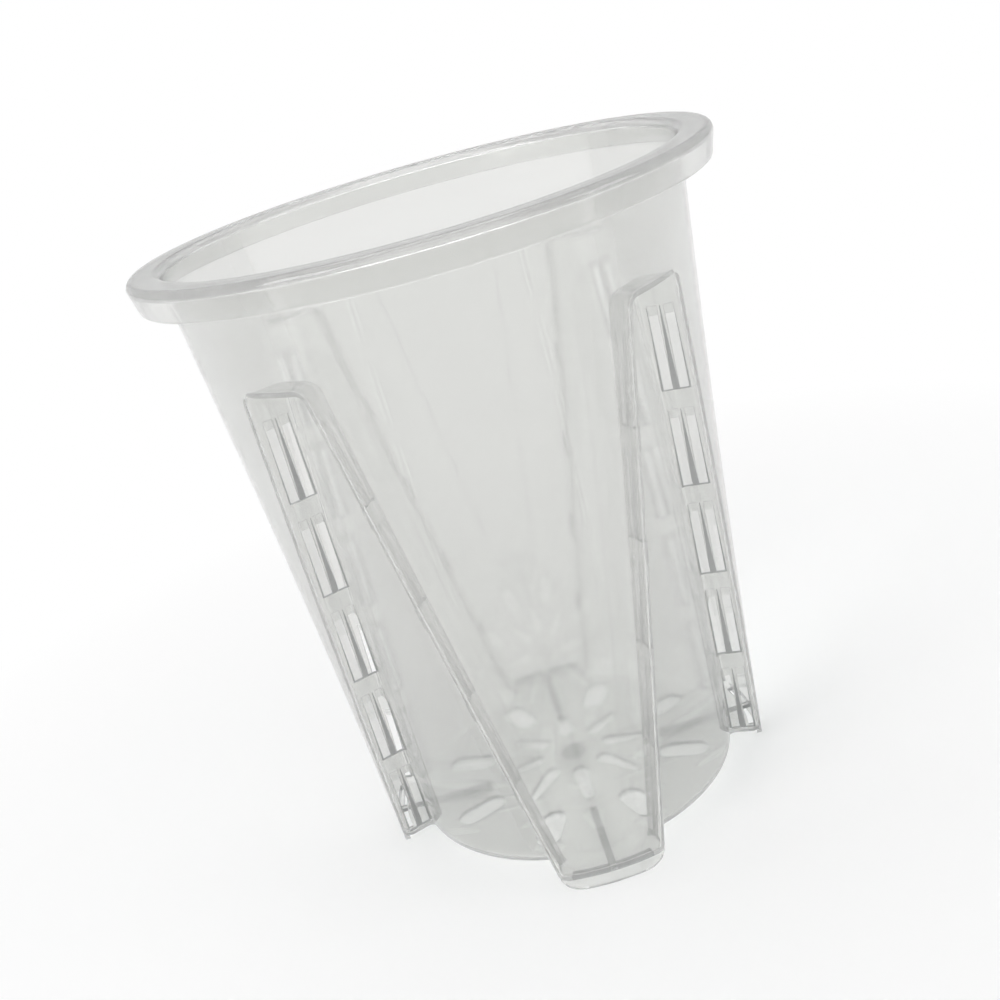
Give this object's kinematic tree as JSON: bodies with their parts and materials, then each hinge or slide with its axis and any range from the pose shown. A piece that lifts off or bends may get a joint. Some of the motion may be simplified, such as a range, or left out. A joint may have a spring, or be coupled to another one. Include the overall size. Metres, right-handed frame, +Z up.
{
  "type": "orchid pot",
  "caption": "Clear tapering orchid pot with a broad flat rim, slotted air channels down its sides, and a raised drained floor on short feet.",
  "frame": {"origin": "on the ground, on the pot's axis, level with the undersides of the feet", "axes": "+Z up along the pot's axis; one foot panel faces each of -Y (front), +X (right), +Y (back) and -X (left), with an air channel midway between each pair"},
  "size_m": [0.145, 0.145, 0.17],
  "materials": {
    "clear_plastic": "clear injection-moulded plastic, faintly grey, smooth and glossy"
  },
  "bodies": {
    "root": {"rim_flange": "clear_plastic", "rim_skirt": "clear_plastic", "collar_wall": "clear_plastic", "base_ring": "clear_plastic", "base_dome": "clear_plastic", "gate_pad": "clear_plastic", "panel_front": "clear_plastic", "foot_floor_front": "clear_plastic", "foot_lip_front": "clear_plastic", "foot_rib_front": "clear_plastic", "panel_right": "clear_plastic", "foot_floor_right": "clear_plastic", "foot_lip_right": "clear_plastic", "foot_rib_right": "clear_plastic", "panel_back": "clear_plastic", "foot_floor_back": "clear_plastic", "foot_lip_back": "clear_plastic", "foot_rib_back": "clear_plastic", "panel_left": "clear_plastic", "foot_floor_left": "clear_plastic", "foot_lip_left": "clear_plastic", "foot_rib_left": "clear_plastic", "channel_back_front_right": "clear_plastic", "channel_ledge_front_right": "clear_plastic", "slot_wall_right_by_front": "clear_plastic", "slot_wall_front_by_right": "clear_plastic", "channel_back_right_back": "clear_plastic", "channel_ledge_right_back": "clear_plastic", "slot_wall_back_by_right": "clear_plastic", "slot_wall_right_by_back": "clear_plastic", "channel_back_back_left": "clear_plastic", "channel_ledge_back_left": "clear_plastic", "slot_wall_left_by_back": "clear_plastic", "slot_wall_back_by_left": "clear_plastic", "channel_back_left_front": "clear_plastic", "channel_ledge_left_front": "clear_plastic", "slot_wall_front_by_left": "clear_plastic", "slot_wall_left_by_front": "clear_plastic"}
  },
  "joints": []
}
